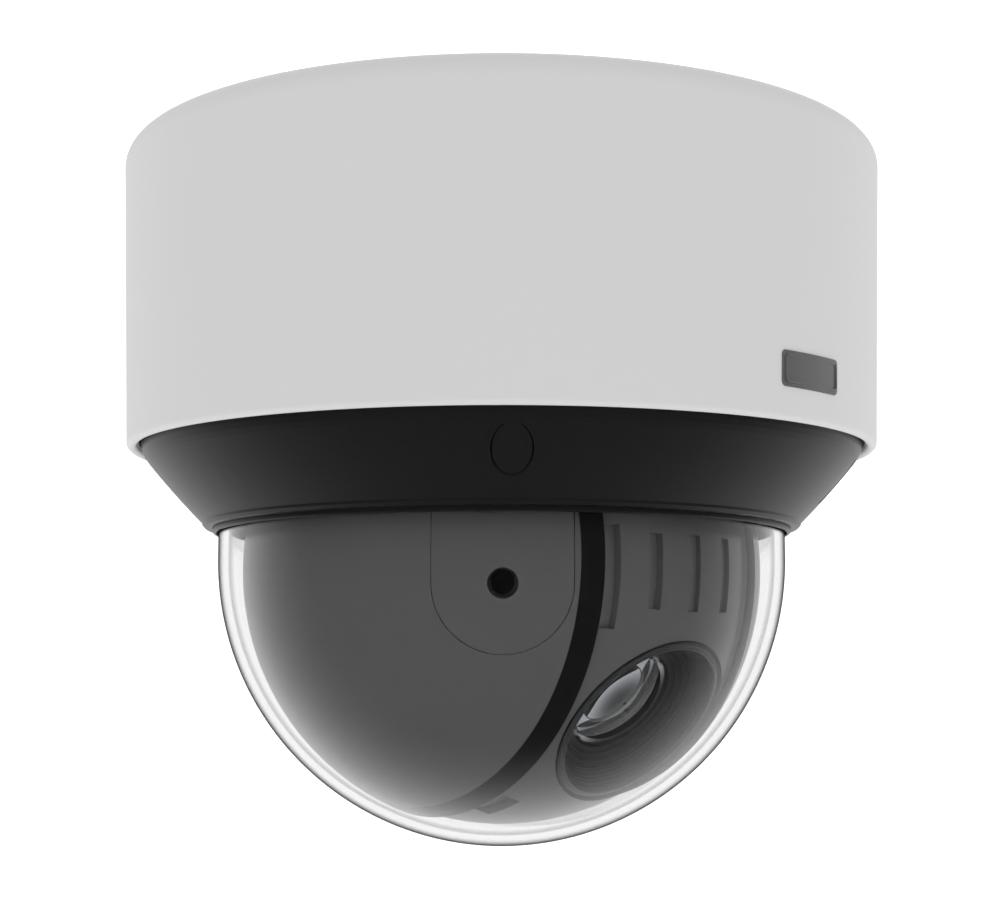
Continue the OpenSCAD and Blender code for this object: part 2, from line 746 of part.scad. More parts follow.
module tilt_motor() color("dimgray") at_tilt_motor() on_axis(arm_out) difference() {
    union() {
        cylinder(r = tilt_motor_r, h = tilt_motor_l);
        translate([0, 0, -1]) cylinder(r = tilt_shaft_r + 2 - fit, h = 1.01);
    }
    translate([0, 0, -2]) cylinder(r = tilt_shaft_r + fit, h = 11);
}
module tilt_pinion() color("goldenrod") at_tilt_motor() {
    on_axis(tilt_gear_x - 0.2) rotate([0, 0, 180 / pinion_teeth])
        linear_extrude(height = tilt_gear_t + 0.4) gear_outline(pinion_teeth, tilt_module);
    on_axis(tilt_gear_x) cylinder(r = tilt_shaft_r, h = arm_out + 8 - tilt_gear_x);
}

module tilt_bushings() color("goldenrod") difference() {
    in_ball() for (side = [-1, 1]) rotate([0, side * 90, 0]) difference() {
        union() {
            rod(bush_r, arm_in, arm_out);
            rod(bush_r + 2, arm_out, arm_out + bush_flange_t);
        }
        rod(trunnion_r + fit, 0, far);
    }
    // the right flange is cut away beside the motor
    at_tilt_motor() on_axis(arm_out) cylinder(r = tilt_motor_r + gap, h = far);
}

module motion_board() color("darkgreen") in_ball() union() {
    translate([-arm_out - 4.6, -11, 11]) cube([1.6, 22, 20]);
    for (y = [-8, 8]) translate([-arm_out - 3, y, 15]) rotate([0, 90, 0]) cylinder(r = 2, h = 3);
    translate([-arm_out - 6.2, -5, 16]) cube([1.6, 10, 10]);
}

// ---------- tilting ball ----------

// the slice of a sphere that tilts
module slice(r, half) intersection() {
    sphere(r = r);
    cube([2 * half, far, far], center = true);
}
slot_x = 10.5;
slot_w = 3;
slot_angles = [28, 44];
slot_depth = 1;
notch_x = -18.5;
notch_angles = [23, 46];
notch_depth = 1.6;
recess_x = -16;
recess_angles = [-37, -27];
recess_depth = 1.5;
// distance of the ball's surface from the tilt axis
function ball_at(x) = sqrt(pow(ball_r, 2) - pow(x, 2));
// a groove round the tilt axis, down to floor_r, between two angles above the lens
module groove(x0, x1, floor_r, angles) rotate([0, 90, 0]) rotate([0, 0, 270 - angles[1]])
    rotate_extrude(angle = angles[1] - angles[0]) translate([floor_r, x0]) square([ball_r, x1 - x0]);

module ball_shell() difference() {
    slice(ball_r, slice_half);
    slice(ball_r - ball_wall, slice_half - ball_side);
    on_axis(-far / 2) cylinder(r = trunnion_r + 0.5, h = far);
    rotate([90, 0, 0]) cylinder(r = bezel_r + fit, h = far);
}
module ball_front_shell() color("gray") in_tilt() difference() {
    intersection() {
        ball_shell();
        translate([-far / 2, -far, -far / 2]) cube([far, far, far]);
    }
    // three cooling slots above the lens
    for (x = [-slot_x, 0, slot_x])
        groove(x - slot_w / 2, x + slot_w / 2, ball_at(abs(x) + slot_w / 2) - slot_depth, slot_angles);
    // finger notches along the left edge, above and below the lens
    groove(-slice_half - 1, notch_x, ball_at(notch_x) - notch_depth, notch_angles);
    groove(-slice_half - 1, recess_x, ball_at(recess_x) - recess_depth, recess_angles);
}
module ball_rear_shell() color("gray") in_tilt() intersection() {
    ball_shell();
    translate([-far / 2, 0, -far / 2]) cube([far, far, far]);
}

// the bezel: a chamfer, a thin rim, a funnel and stepped rings that lead down to the front glass
bezel_chamfer = 1.4;
rim_w = 0.4;
rim_drop = 0.8;
step_drop = 0.6;
funnel = [2.6, 3.8];
step_w = (bezel_r - bezel_chamfer - rim_w - funnel[0] - glass_r) / 3;
bezel_foot = bezel_s - glass_depth - 1;
module lens_bezel() color([0.2, 0.2, 0.2]) on_lens() rotate_extrude() polygon(concat(
    [[bezel_r, bezel_s - 4], [bezel_r, bezel_s], [bezel_r - bezel_chamfer, bezel_s - rim_drop],
     [bezel_r - bezel_chamfer - rim_w, bezel_s - rim_drop],
     [bezel_r - bezel_chamfer - rim_w - funnel[0], bezel_s - rim_drop - funnel[1]]],
    [for (i = [0 : 2], j = [0, 1])
        [glass_r + step_w * (3 - i - j) + fit, bezel_s - funnel[1] - rim_drop - step_drop * (i + 1)]],
    [[glass_r + fit, bezel_foot], [barrel_r, bezel_foot], [barrel_r, bezel_foot + 1]]));

glass_bulge = 32;
module front_glass() color([0.6, 0.7, 0.8, 0.4]) on_lens() difference() {
    intersection() {
        rod(glass_r, bezel_foot - 2.5, far);
        translate([0, 0, bezel_foot + 1 - sqrt(pow(glass_bulge, 2) - pow(glass_r, 2))])
            sphere(r = glass_bulge);
    }
    translate([0, 0, bezel_foot - 20]) sphere(r = 20);
}

module zoom_block() color("dimgray") on_lens() difference() {
    union() {
        slab(2 * block_half, 2 * block_half, block_back, block_front);
        rod(barrel_r, block_front - 0.1, barrel_front);
    }
    difference() {
        slab(2 * block_in, 2 * block_in, block_back + block_wall, block_front - block_wall);
        // fixed partitions: the iris seat and the filter seat
        for (s = [7.5, -17]) slab(2 * block_half, 2 * block_half, s, s + 1.2);
    }
    rod(8, block_back + block_wall, block_front);
    rod(glass_r - 1, block_front - 3, far);
    rod(glass_r + fit, barrel_front - 2.5, far);
    slab(14, 12, block_back - 1, block_back + 3);
    screw_places([-1, 1]) rod(lead_r + 0.4, block_back - 1, block_front - block_wall);
    rod_places() rod(rod_r + 0.02, block_back + block_wall, block_front - block_wall);
}
module rod_places() for (s = [-1, 1]) translate([s * rod_at, s * rod_at, 0]) children();
module screw_places(sides) for (s = sides) translate([s * rod_at, -s * rod_at, 0]) children();

trunnion_end = 1.5;
module tilt_cradle() color("silver") in_tilt() difference() {
    union() {
        for (side = [-1, 1]) {
            translate([side > 0 ? block_half : -block_half - cradle_t, -14, -cradle_half])
                cube([cradle_t, 14 + cradle_back, 2 * cradle_half]);
            rotate([0, side * 90, 0]) rod(trunnion_r, block_half + 0.5, arm_out + trunnion_end);
        }
        translate([-block_half, cradle_back - cradle_t, -cradle_half])
            cube([2 * block_half, cradle_t, 2 * cradle_half]);
    }
    // the left trunnion is hollow for the cables
    rotate([0, -90, 0]) rod(trunnion_r - 2.5, block_half - 1, far);
}

module tilt_gear() color("ivory") in_ball() on_axis(tilt_gear_x) difference() {
    rotate([0, 0, 180]) linear_extrude(height = tilt_gear_t) gear_outline(tilt_teeth, tilt_module);
    translate([0, 0, -1]) cylinder(r = trunnion_r, h = far);
}

module sensor_board() color("darkgreen") on_lens() {
    slab(30, 16, block_back - 1.6, block_back);
    slab(12, 10, block_back - 0.1, block_back + 2);
}

motor_l = 9;
module lens_motors() color("silver") on_lens() screw_places([-1, 1]) difference() {
    rod(4, block_back - motor_l, block_back);
    rod(lead_r + fit, block_back - motor_l + 1, block_back + 1);
}

module guide_rods() color("silver") on_lens() rod_places()
    rod(rod_r, block_back + block_wall, block_front - block_wall);

// a lens cell on the guide rods; turn puts its nut on one lead screw or the other
module lens_cell(r, s0, s1, turn) difference() {
    translate([0, 0, s0]) linear_extrude(height = s1 - s0) difference() {
        union() {
            circle(r = r);
            rotate(45) square([2 * rod_at * sqrt(2) + 4.2, 4.4], center = true);
            rotate(-45) translate([turn * (rod_at * sqrt(2) + 2.1) / 2, 0])
                square([rod_at * sqrt(2) + 2.1, 4], center = true);
        }
        rod_places() circle(r = rod_r + fit);
        translate([turn * rod_at, -turn * rod_at]) circle(r = lead_r + fit);
    }
    rod(r - 2.5, -far, s0 + 0.8);
    rod(r - 2.5, s1 - 0.8, far);
}
module zoom_group() color("slategray") on_lens() lens_cell(12, 17, 23, 1);
module focus_group() color("slategray") on_lens() lens_cell(10, -4, 1.4, -1);
module lead_screw() rod(lead_r, block_back - motor_l + 1.5, block_front - block_wall - 1);
module zoom_screw() color("gold") on_lens() screw_places([1]) lead_screw();
module focus_screw() color("gold") on_lens() screw_places([-1]) lead_screw();

filter_travel = 7;
module filter_slide() color("lightblue") on_lens() translate([-filter_travel / 2, 0, 0]) difference() {
    slab(23, 13, -15, -14.2);
    for (x = [-1, 1]) translate([x * 5.5, 0, 0]) slab(9, 10, -15.6, -14.6);
}

// two iris blades that slide apart along the height of the block
module iris_blade(side, s) difference() {
    translate([-11, side > 0 ? 3 : -12, s]) cube([22, 9, 0.4]);
    translate([0, side * 2, 0]) rod(3.5, s - 1, s + 1);
}
module iris_upper_blade() color("black") on_lens() iris_blade(1, 9);
module iris_lower_blade() color("black") on_lens() iris_blade(-1, 9.8);

ceiling_plate();
hook_studs();
ceiling_gasket();
housing();
cable_grommet();
name_badge();
chassis_plate();
chassis_screws();
main_board();
board_screws();
network_socket();
terminal_block();
memory_card_socket();
memory_card();
heat_sink();
reset_button();
pan_motor();
pan_pinion();
pan_bearing_inner();
slip_ring_stator();
collar();
collar_screws();
collar_plugs();
housing_seal();
dome();
dome_seal();
dome_clamp_ring();
clamp_screws();
yoke();
pan_gear();
pan_bearing_outer();
pan_bearing_balls();
slip_ring_rotor();
side_shell_left();
side_shell_right();
cheek_left();
cheek_right();
side_hatch();
shell_screws();
tilt_motor();
tilt_bushings();
motion_board();
tilt_pinion();
ball_front_shell();
ball_rear_shell();
lens_bezel();
front_glass();
zoom_block();
tilt_cradle();
tilt_gear();
sensor_board();
lens_motors();
guide_rods();
zoom_group();
focus_group();
zoom_screw();
focus_screw();
filter_slide();
iris_upper_blade();
iris_lower_blade();
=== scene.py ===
# %% [markdown]
# A ceiling camera: a white drum, a black collar and a clear dome. Under the dome a yoke pans,
# and a ball with a zoom lens tilts in it. The CAD model already has every part at its real size,
# so this script loads it as a fixed frame and gives it finishes, fine detail, light and a camera.

# %% Load the frame
import bmesh
import bpy
import json
import math
import random
from mathutils import Matrix, Vector
from mathutils.bvhtree import BVHTree


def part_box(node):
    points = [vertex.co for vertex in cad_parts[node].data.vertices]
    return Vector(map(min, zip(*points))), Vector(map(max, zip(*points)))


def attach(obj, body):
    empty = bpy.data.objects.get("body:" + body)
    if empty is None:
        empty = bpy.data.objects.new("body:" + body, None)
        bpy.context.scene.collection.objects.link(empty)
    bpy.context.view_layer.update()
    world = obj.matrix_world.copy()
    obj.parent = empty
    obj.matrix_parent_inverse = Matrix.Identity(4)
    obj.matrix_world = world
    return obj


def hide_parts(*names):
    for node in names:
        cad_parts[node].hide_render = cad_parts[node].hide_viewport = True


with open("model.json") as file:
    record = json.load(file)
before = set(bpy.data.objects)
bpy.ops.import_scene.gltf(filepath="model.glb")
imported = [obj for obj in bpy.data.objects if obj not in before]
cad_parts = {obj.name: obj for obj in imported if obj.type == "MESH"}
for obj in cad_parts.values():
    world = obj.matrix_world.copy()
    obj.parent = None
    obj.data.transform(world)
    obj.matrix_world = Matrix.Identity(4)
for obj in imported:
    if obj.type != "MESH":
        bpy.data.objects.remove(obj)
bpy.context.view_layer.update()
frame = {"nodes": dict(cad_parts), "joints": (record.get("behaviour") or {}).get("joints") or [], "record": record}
nodes = frame["nodes"]
joints = {joint["name"]: joint for joint in frame["joints"]}
scene = bpy.context.scene
mm = 0.001

# %% [markdown]
# Every place is worked out from the frame. The tilt joint gives the middle of the ball and the
# axis it tilts on, and the zoom joint gives the direction in which the lens looks. A matrix made
# of these lets each lens piece be drawn upright at zero, with Z along the lens, and then laid
# into the ball as mesh points, so that its object can stay at the origin.

# %% Frames of the ball and the lens
ball_centre = Vector(joints["tilt"]["pos_m"])
tilt_axis = Vector(joints["tilt"]["axis"]).normalized()
lens_axis = Vector(joints["zoom_travel"]["axis"]).normalized()
lens_up = lens_axis.cross(tilt_axis)


def basis(x, y, z, origin):
    """A matrix with these three axes and this origin."""
    turned = Matrix((x, y, z)).transposed().to_4x4()
    turned.translation = origin
    return turned


on_lens = basis(tilt_axis, lens_up, lens_axis, ball_centre)
print("ball centre (mm):", [round(c / mm, 2) for c in ball_centre])

# %% [markdown]
# The camera comes first, so that each render can be judged from the start. It stands a little
# below the collar, just under half a metre in front, and looks slightly up, so that the underside
# of the collar shows as well as the dome.

# %% Camera
view_distance = 455 * mm
view_height = -119.8 * mm
view_aside = -0.34 * mm
view_pitch = math.radians(6.6)

lens_data = bpy.data.cameras.new("camera")
lens_data.lens = 74.3
lens_data.sensor_width = 36
camera = bpy.data.objects.new("camera", lens_data)
camera.location = (view_aside, -view_distance, view_height)
camera.rotation_euler = (math.pi / 2 + view_pitch, 0, 0)
scene.collection.objects.link(camera)
scene.camera = camera
print("camera at (mm):", [round(c / mm, 1) for c in camera.location])

# %% [markdown]
# Shader maths reads best as plain arithmetic. This small class holds one output of a node, and
# the operators on it add the Math nodes, so 1 - mask builds a Subtract node. Every other node
# comes from one method that is given the node's type, its settings and what its sockets hold.


# %% Shader expressions
class Wire:
    """One output of a shader node. Arithmetic on it adds Math nodes to the same tree."""

    def __init__(self, tree, socket=None):
        self.tree = tree
        self.socket = socket

    def node(self, kind, settings=None, sockets=None, out=0):
        """Adds a node: its settings first, then values or wires into its sockets."""
        new = self.tree.nodes.new("ShaderNode" + kind)
        for name, value in (settings or {}).items():
            if name == "stops":
                set_stops(new.color_ramp, value)
            else:
                setattr(new, name, value)
        for key, value in (sockets or {}).items():
            if isinstance(value, Wire):
                self.tree.links.new(value.socket, new.inputs[key])
            else:
                new.inputs[key].default_value = value
        return Wire(self.tree, new.outputs[out])

    def maths(self, operation, first, second):
        return self.node("Math", {"operation": operation}, {0: first, 1: second})

    def __add__(self, other):
        return self.maths("ADD", self, other)

    def __radd__(self, other):
        return self.maths("ADD", other, self)

    def __sub__(self, other):
        return self.maths("SUBTRACT", self, other)

    def __rsub__(self, other):
        return self.maths("SUBTRACT", other, self)

    def __mul__(self, other):
        return self.maths("MULTIPLY", self, other)

    def __rmul__(self, other):
        return self.maths("MULTIPLY", other, self)

    def __pow__(self, other):
        return self.maths("POWER", self, other)


def set_stops(ramp, stops):
    """Puts (position, colour) stops on a colour ramp that starts with two of its own."""
    while len(ramp.elements) < len(stops):
        ramp.elements.new(0.5)
    for element, (position, shade) in zip(ramp.elements, stops):
        element.position = position
        element.color = shade


def mix_colours(wire, factor, first, second):
    """A Mix node on colours, because a Math node would turn them grey."""
    return wire.node("Mix", {"data_type": "RGBA"}, {0: factor, 6: first, 7: second}, out=2)


def grey(level):
    return (level, level, level, 1)


# %% [markdown]
# A real surface is never one flat value. Each finish here is a Principled shader with three
# things that vary over the part: a soft mottle in its colour, the same mottle in its gloss, and
# a fine grain that a Bump node turns into relief. Object coordinates are in metres, so a grain
# of half a millimetre has a noise scale of about 2000.


# %% One recipe for the opaque finishes
def finish(name, colour, roughness, metallic=0.0, mottle=0.04, mottle_scale=60.0, gloss_play=0.04,
           grain_scale=2200.0, grain_depth=0.00002, stretch=(1, 1, 1), **constants):
    material = bpy.data.materials.new(name)
    material.use_nodes = True
    tree = material.node_tree
    shader = tree.nodes["Principled BSDF"]
    start = Wire(tree)
    place = start.node("TexCoord", out=3)
    cloud = start.node("TexNoise", sockets={"Vector": place, "Scale": mottle_scale, "Detail": 3.0})
    lined = start.node("Mapping", sockets={"Vector": place, "Scale": stretch})
    grain = start.node("TexNoise", sockets={"Vector": lined, "Scale": grain_scale, "Detail": 2.0})
    darker = [part * (1 - mottle) for part in colour] + [1]
    lighter = [min(1.0, part * (1 + mottle)) for part in colour] + [1]
    tint = mix_colours(start, cloud, darker, lighter)
    gloss = roughness - gloss_play + 2 * gloss_play * (0.5 * cloud + 0.5 * grain)
    relief = start.node("Bump", sockets={"Strength": 1.0, "Distance": grain_depth, "Height": grain})
    tree.links.new(tint.socket, shader.inputs["Base Color"])
    tree.links.new(gloss.socket, shader.inputs["Roughness"])
    tree.links.new(relief.socket, shader.inputs["Normal"])
    shader.inputs["Metallic"].default_value = metallic
    for socket, value in constants.items():
        shader.inputs[socket.replace("_", " ")].default_value = value
    return material


# %% [markdown]
# The finishes follow the record's material slots. The drum is powder coated, a slight orange
# peel under a satin white. The collar is spark-textured black plastic. The ball and its side
# shells are glossy grey mouldings, and the cheeks between them are black.

# %% Opaque finishes
finishes = {
    "white_paint": finish("white_paint", (0.6, 0.59, 0.593), 0.42, mottle=0.008, mottle_scale=25,
                          grain_scale=1600, grain_depth=0.000006),
    "black_plastic": finish("black_plastic", (0.0085, 0.0085, 0.0088), 0.36, mottle=0.1,
                            mottle_scale=900, grain_scale=2600, grain_depth=0.00003,
                            Specular_IOR_Level=0.35),
    "grey_shell": finish("grey_shell", (0.172, 0.169, 0.171), 0.3, mottle=0.02, mottle_scale=30,
                         grain_scale=1500, grain_depth=0.0000006, Specular_IOR_Level=0.3),
    "black_gloss": finish("black_gloss", (0.008, 0.008, 0.0082), 0.3, mottle=0.05,
                          grain_depth=0.000003),
    "steel": finish("steel", (0.56, 0.56, 0.57), 0.34, metallic=1.0, mottle=0.06, mottle_scale=120,
                    stretch=(1, 12, 1), grain_scale=900, grain_depth=0.000008),
    "screw_steel": finish("screw_steel", (0.5, 0.5, 0.49), 0.28, metallic=1.0, mottle=0.08,
                          mottle_scale=400, grain_depth=0.000006),
    "cast_alloy": finish("cast_alloy", (0.6, 0.61, 0.62), 0.5, metallic=0.85, mottle=0.1,
                         mottle_scale=180, grain_scale=1300, grain_depth=0.00005),
    "rubber": finish("rubber", (0.025, 0.025, 0.026), 0.72, mottle=0.15, mottle_scale=300,
                     grain_depth=0.00003),
    "badge_metal": finish("badge_metal", (0.2, 0.2, 0.205), 0.36, metallic=0.6, mottle=0.05,
                          mottle_scale=200, stretch=(1, 1, 20), grain_scale=500, grain_depth=0.00001),
    "circuit_board": finish("circuit_board", (0.012, 0.1, 0.045), 0.35, mottle=0.2, mottle_scale=500,
                            grain_scale=1500, grain_depth=0.00002, Coat_Weight=0.4),
    "gear_plastic": finish("gear_plastic", (0.76, 0.73, 0.64), 0.45, mottle=0.05, mottle_scale=150,
                           grain_depth=0.00001, Subsurface_Weight=0.05),
    "brass": finish("brass", (0.72, 0.5, 0.2), 0.3, metallic=1.0, mottle=0.08, mottle_scale=300,
                    stretch=(1, 1, 15), grain_depth=0.000008),
    "terminal_green": finish("terminal_green", (0.03, 0.3, 0.09), 0.4, mottle=0.06,
                             mottle_scale=250, grain_depth=0.00001),
    "dark_plastic": finish("dark_plastic", (0.03, 0.03, 0.032), 0.42, mottle=0.1, mottle_scale=350,
                           grain_depth=0.00001),
}
print("opaque finishes:", len(finishes))


# %% [markdown]
# Glass and clear plastic pass light through two real walls, so their index of refraction does
# most of the work: it bends the background into the bright band inside the dome's edge. Their
# colour varies by a hair, as in any moulding. The dome also gets a thin dark outline of painted
# shade: a dark, dull shader is mixed in where a sightline only grazes the wall.


# %% Clear finishes
def clear_finish(name, colour, index, haze):
    material = bpy.data.materials.new(name)
    material.use_nodes = True
    tree = material.node_tree
    shader = tree.nodes["Principled BSDF"]
    start = Wire(tree)
    place = start.node("TexCoord", out=3)
    cloud = start.node("TexNoise", sockets={"Vector": place, "Scale": 14.0, "Detail": 2.0})
    faint = [part * 0.985 for part in colour] + [1]
    tint = mix_colours(start, cloud, faint, list(colour) + [1])
    tree.links.new(tint.socket, shader.inputs["Base Color"])
    shader.inputs["Roughness"].default_value = haze
    shader.inputs["IOR"].default_value = index
    shader.inputs["Transmission Weight"].default_value = 1.0
    return material


def paint_edge_shade(material, first, last, strength):
    """Mixes painted shade, a dark dull shader, in where a sightline only grazes the wall."""
    tree = material.node_tree
    start = Wire(tree)
    graze = start.node("LayerWeight", sockets={"Blend": 0.5}, out="Facing")
    edge = start.node("MapRange", {"interpolation_type": "SMOOTHSTEP"},
                      {"Value": graze, "From Min": first, "From Max": last, "To Min": 0.0,
                       "To Max": strength})
    # painted shade: a dark, dull shader that darkens the dome's wall along its grazing edge
    dark = start.node("BsdfPrincipled", sockets={"Base Color": grey(0.02), "Roughness": 0.6,
                                                 "Specular IOR Level": 0.0})
    clear = Wire(tree, tree.nodes["Principled BSDF"].outputs[0])
    mixed = start.node("MixShader", sockets={0: edge, 1: clear, 2: dark})
    tree.links.new(mixed.socket, tree.nodes["Material Output"].inputs["Surface"])
    return material


finishes["clear_dome"] = paint_edge_shade(clear_finish("clear_dome", (0.985, 0.985, 0.985), 1.5, 0.0),
                                    0.78, 0.94, 0.95)
finishes["lens_glass"] = clear_finish("lens_glass", (0.93, 0.95, 0.97), 1.6, 0.0)

for part in frame["record"]["subparts"]:
    cad_node = nodes[part["node"]]
    cad_node.data.materials.clear()
    cad_node.data.materials.append(finishes[part["material_slot"]])

# the screw at the bottom of the hatch's bore gets a dull near-black as painted shade, so that the bore reads as a
# dark hole
bore_shade_black = finish("bore_shade_black", (0.004, 0.004, 0.004), 0.6, mottle=0.1, mottle_scale=400,
                     grain_depth=0.000006, Specular_IOR_Level=0.1)
nodes["shell_screws"].data.materials.clear()
nodes["shell_screws"].data.materials.append(bore_shade_black)
print("all finishes:", len(finishes) + 1)

# %% [markdown]
# The studio is a white tent. What the camera sees behind the object is white, and matt surfaces
# get the same soft light from all sides. A dark screen stands on the camera's side, as is done in
# front of any glossy object in a studio. Only mirrored rays see it, so the front of the dome stays
# clear while its edges catch the white behind.

# %% World light
tent = bpy.data.worlds.new("tent")
tent.use_nodes = True
scene.world = tent
tent_tree = tent.node_tree
tent_tree.nodes.clear()
sky = Wire(tent_tree)
towards = sky.node("TexCoord", out=0)
split = sky.node("SeparateXYZ", sockets={"Vector": towards}, out=1)
depth = sky.node("MapRange", {"interpolation_type": "SMOOTHSTEP"},
                 {"Value": split, "From Min": -0.2, "From Max": 0.95, "To Min": 0.04, "To Max": 1.0})
bounced = sky.maths("MINIMUM", sky.node("LightPath", out="Diffuse Depth"), 1.0)
mirrored = sky.maths("MINIMUM", sky.node("LightPath", out="Glossy Depth"), 1.0)
level = 1 - mirrored * (1 - bounced) * (1 - depth)
light = sky.node("Background", sockets={"Color": grey(1.0), "Strength": level})
world_out = tent_tree.nodes.new("ShaderNodeOutputWorld")
tent_tree.links.new(light.socket, world_out.inputs["Surface"])
scene.view_settings.view_transform = "Standard"

# %% [markdown]
# The floor is a pale sweep: flat below the camera, then curved up into a back wall, so that no
# edge shows. It is far enough below to throw no mark on the camera's underside.


# %% Floor
def mesh_object(name, points, faces, smooth=True):
    """A mesh object at the origin, with its points already in place."""
    mesh = bpy.data.meshes.new(name)
    mesh.from_pydata([tuple(point) for point in points], [], faces)
    mesh.validate()
    mesh.shade_smooth() if smooth else mesh.shade_flat()
    made = bpy.data.objects.new(name, mesh)
    scene.collection.objects.link(made)
    return made


def make_floor(drop=1.5, back=1.6, bend=0.8, half=4.0, front=-3.0, height=3.5, steps=24):
    curve = [(front, -drop), (back, -drop)]
    for i in range(1, steps + 1):
        turn = math.pi / 2 * i / steps
        curve.append((back + bend * math.sin(turn), -drop + bend * (1 - math.cos(turn))))
    curve.append((back + bend, height))
    points = [(x, y, z) for y, z in curve for x in (-half, half)]
    faces = [(2 * i, 2 * i + 1, 2 * i + 3, 2 * i + 2) for i in range(len(curve) - 1)]
    floor = mesh_object("studio_floor", points, faces)
    pale = finish("floor_white", (0.93, 0.93, 0.93), 0.8, mottle=0.004, mottle_scale=2,
                  grain_scale=60, grain_depth=0.0002, Specular_IOR_Level=0.0,
                  Emission_Color=grey(1.0), Emission_Strength=0.35)
    floor.data.materials.append(pale)
    floor.visible_glossy = False
    floor.visible_transmission = False
    return floor


make_floor()

# %% [markdown]
# Several pieces below are turned shapes: a dome, lens elements, rings. On a lathe or in a mould
# they come from one outline, and the same is done here: an outline of (radius, height) points is
# swept round Z. A point on the axis becomes one shared vertex, so that the pole is closed.


# %% A lathe
def lathe(name, outline, steps=192, place=Matrix(), sharp=35, closed=True):
    """Sweeps an outline of (radius, height) points round Z and lays the result in place."""
    points, faces, rings = [], [], []
    for radius, height in outline:
        if radius < 1e-9:
            rings.append([len(points)] * steps)
            points.append(place @ Vector((0, 0, height)))
            continue
        rings.append(list(range(len(points), len(points) + steps)))
        for i in range(steps):
            turn = 2 * math.pi * i / steps
            points.append(place @ Vector((radius * math.cos(turn), radius * math.sin(turn), height)))
    pairs = list(zip(rings, rings[1:] + rings[:1])) if closed else list(zip(rings, rings[1:]))
    for low, high in pairs:
        for i in range(steps):
            j = (i + 1) % steps
            corners = list(dict.fromkeys((low[i], low[j], high[j], high[i])))
            if len(corners) > 2:
                faces.append(corners)
    made = mesh_object(name, points, faces)
    point_outwards(made)
    made.data.set_sharp_from_angle(angle=math.radians(sharp))
    return made


def point_outwards(piece):
    """Turns every face of a closed mesh outwards."""
    shape = bmesh.new()
    shape.from_mesh(piece.data)
    bmesh.ops.recalc_face_normals(shape, faces=shape.faces)
    shape.to_mesh(piece.data)
    shape.free()


def dress(piece, body, slot, *replaced, material=None):
    """Gives a finished piece its material, the slot's finish unless one is given, and its body, and hides the CAD
    nodes it stands for.
    """
    piece.data.materials.clear()
    piece.data.materials.append(material or finishes[slot])
    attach(piece, body)
    if replaced:
        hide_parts(*replaced)
    return piece


def arc(radius, middle, first, last, steps):
    """Points of an arc in the (radius, height) plane, by angles from the level, in degrees."""
    return [(middle[0] + radius * math.cos(math.radians(first + (last - first) * i / steps)),
             middle[1] + radius * math.sin(math.radians(first + (last - first) * i / steps)))
            for i in range(steps + 1)]


def rings_of(node, place=Matrix()):
    """The (radius, height) of every point of a CAD node, about the Z axis of a frame."""
    into = place.inverted()
    local = [into @ point.co for point in nodes[node].data.vertices]
    return [(math.hypot(point.x, point.y), point.z) for point in local]


# %% [markdown]
# The dome is the piece that everything is seen through, so it gets the densest mesh: two smooth
# walls, a straight skirt above the half ball and a flange that the collar clamps. Its radii are
# read off the CAD dome: the two points on its axis give the wall, and the widest point below the
# collar gives the outer radius.

# %% Clear dome
dome_rings = rings_of("dome")
collar_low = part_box("collar")[0].z
pole_out = min(z for r, z in dome_rings)
pole_in = min(z for r, z in dome_rings if r < 1 * mm and z > pole_out + 1 * mm)
dome_out = max(r for r, z in dome_rings if z < collar_low)
dome_wall = pole_in - pole_out
dome_middle = (0, pole_out + dome_out)
flange_out = max(r for r, z in dome_rings)
flange_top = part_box("dome")[1].z
flange_low = min(z for r, z in dome_rings if r > flange_out - 0.1 * mm)
outline = arc(dome_out, dome_middle, -90, 0, 72)
outline[0] = (0, pole_out)
outline += [(dome_out, flange_low), (flange_out, flange_low), (flange_out, flange_top),
            (dome_out - dome_wall, flange_top)]
inner = arc(dome_out - dome_wall, dome_middle, 0, -90, 72)
inner[-1] = (0, pole_in)
dome_shell = lathe("dome_shell", outline + inner, steps=512, closed=False)
dress(dome_shell, "root", "clear_dome", "dome")
print("dome radius and wall (mm):", round(dome_out / mm, 2), round(dome_wall / mm, 2))

# %% [markdown]
# Behind the front glass a zoom lens shows more elements, each a shallow bowl with a bright
# coating. They are what lights up in a lens: a bowl mirrors the pale background along the side
# that is turned away from it. Two nested bowls are laid into the barrel, just clear of the glass.

# %% Lens elements
glass_rings = rings_of("front_glass", on_lens)
glass_r = max(r for r, z in glass_rings)
glass_seat = min(z for r, z in glass_rings)
bezel_rings = rings_of("lens_bezel", on_lens)
bezel_top = max(z for r, z in bezel_rings)


def bowl(name, rim_r, rim_z, inner_r, depth, thick):
    """A shallow bowl, open towards the front, with a hole of inner_r in its middle."""
    count = 16
    top, under = [], []
    for i in range(count + 1):
        r = rim_r + (inner_r - rim_r) * i / count
        z = rim_z - depth * (1 - (r / rim_r) ** 2)
        top.append((r, z))
        under.append((r, z - thick))
    return lathe(name, top + under[::-1], steps=128, place=on_lens)


coated = finish("coated_element", (0.95, 0.95, 0.97), 0.02, metallic=1.0, mottle=0.03,
                mottle_scale=80, gloss_play=0.01, grain_depth=0.0)
element_t = 0.4 * mm
second = bowl("second_element", rim_r=10.8 * mm, rim_z=glass_seat - 0.25 * mm, inner_r=7.4 * mm,
              depth=1.15 * mm, thick=element_t)
third = bowl("third_element", rim_r=7.2 * mm, rim_z=glass_seat - 0.9 * mm, inner_r=0,
             depth=1.7 * mm, thick=element_t)
for element in (second, third):
    dress(element, "tilt_unit", "lens_glass", material=coated)

# %% [markdown]
# The bezel's edge is a separate trim ring, as on most camera barrels: a flat chamfer outside, a
# thin rounded lip inside that catches the light, and the dark funnel below it.

